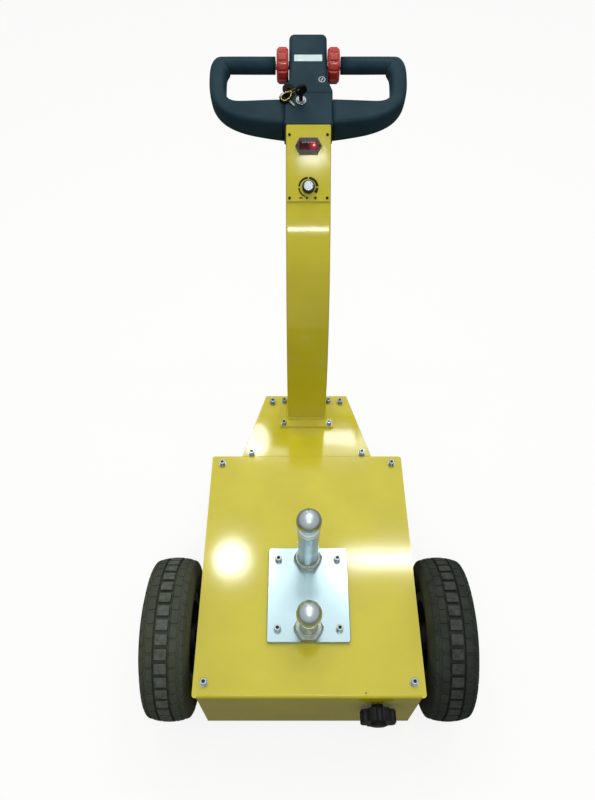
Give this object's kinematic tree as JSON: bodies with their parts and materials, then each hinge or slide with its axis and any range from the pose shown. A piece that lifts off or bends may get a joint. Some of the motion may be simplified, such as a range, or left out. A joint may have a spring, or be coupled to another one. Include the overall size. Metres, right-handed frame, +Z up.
{
  "type": "walk-behind electric tow tug",
  "caption": "Pedestrian electric tow tug: yellow sheet-steel box on drive wheels and a swivel caster, hitch plate with tow balls, curved tiller with loop handle, key switch and thumb throttles.",
  "frame": {"origin": "on the floor, under the middle of the machine's length and width", "axes": "+X to the right seen from the hitch end, +Y from the hitch end to the handle, +Z up"},
  "size_m": [0.667, 1.2144, 0.9514],
  "materials": {
    "yellow_paint": "gloss",
    "zinc_plate": "satin",
    "tow_ball_steel": "polished",
    "black_plastic": "satin",
    "gauge_lens": "gloss",
    "bright_cap": "satin",
    "head_plastic": "satin",
    "red_plastic": "gloss",
    "machined_steel": "satin",
    "ring_brass": "satin",
    "drive_case": "matte",
    "battery_case": "matte",
    "caster_rubber": "matte",
    "caster_core": "satin",
    "tyre_rubber": "matte",
    "rim_steel": "satin"
  },
  "bodies": {
    "chassis": {"chassis_tub": "yellow_paint", "main_cover": "yellow_paint", "tail_tub": "yellow_paint", "tail_cover": "yellow_paint", "hitch_plate": "zinc_plate", "tow_ball_short": "tow_ball_steel", "tow_ball_tall": "tow_ball_steel", "isolator_knob": "black_plastic", "tiller_column": "yellow_paint", "control_panel": "yellow_paint", "battery_gauge": "black_plastic", "gauge_lens": "gauge_lens", "speed_knob": "black_plastic", "speed_knob_cap": "bright_cap", "head_hub": "head_plastic", "head_block": "head_plastic", "loop_left": "head_plastic", "loop_right": "head_plastic", "throttle_left": "red_plastic", "throttle_right": "red_plastic", "throttle_shaft_left": "machined_steel", "throttle_shaft_right": "machined_steel", "key_switch": "bright_cap", "key": "black_plastic", "key_ring": "ring_brass", "belly_button": "red_plastic", "axle_bearing_left": "machined_steel", "axle_bearing_right": "machined_steel", "drive_unit": "drive_case", "battery_left": "battery_case", "battery_right": "battery_case", "caster_plate": "zinc_plate"},
    "left_wheel": {"tyre_left": "tyre_rubber", "rim_left": "rim_steel", "hub_left": "rim_steel"},
    "right_wheel": {"tyre_right": "tyre_rubber", "rim_right": "rim_steel", "hub_right": "rim_steel"},
    "swivel": {"caster_fork": "zinc_plate", "caster_axle": "machined_steel"},
    "trail_wheel": {"caster_tyre": "caster_rubber", "caster_core": "caster_core"}
  },
  "joints": [
    {"name": "left_wheel_spin", "type": "hinge", "parent": "chassis", "child": "left_wheel", "pos_m": [-0.2835, -0.42322, 0.165], "axis": [1, 0, 0], "continuous": true},
    {"name": "right_wheel_spin", "type": "hinge", "parent": "chassis", "child": "right_wheel", "pos_m": [0.2835, -0.42322, 0.165], "axis": [1, 0, 0], "continuous": true},
    {"name": "caster_swivel", "type": "hinge", "parent": "chassis", "child": "swivel", "pos_m": [0, 0.08078, 0.146], "axis": [0, 0, 1], "continuous": true},
    {"name": "caster_spin", "type": "hinge", "parent": "swivel", "child": "trail_wheel", "pos_m": [0, 0.12078, 0.0625], "axis": [1, 0, 0], "continuous": true}
  ]
}
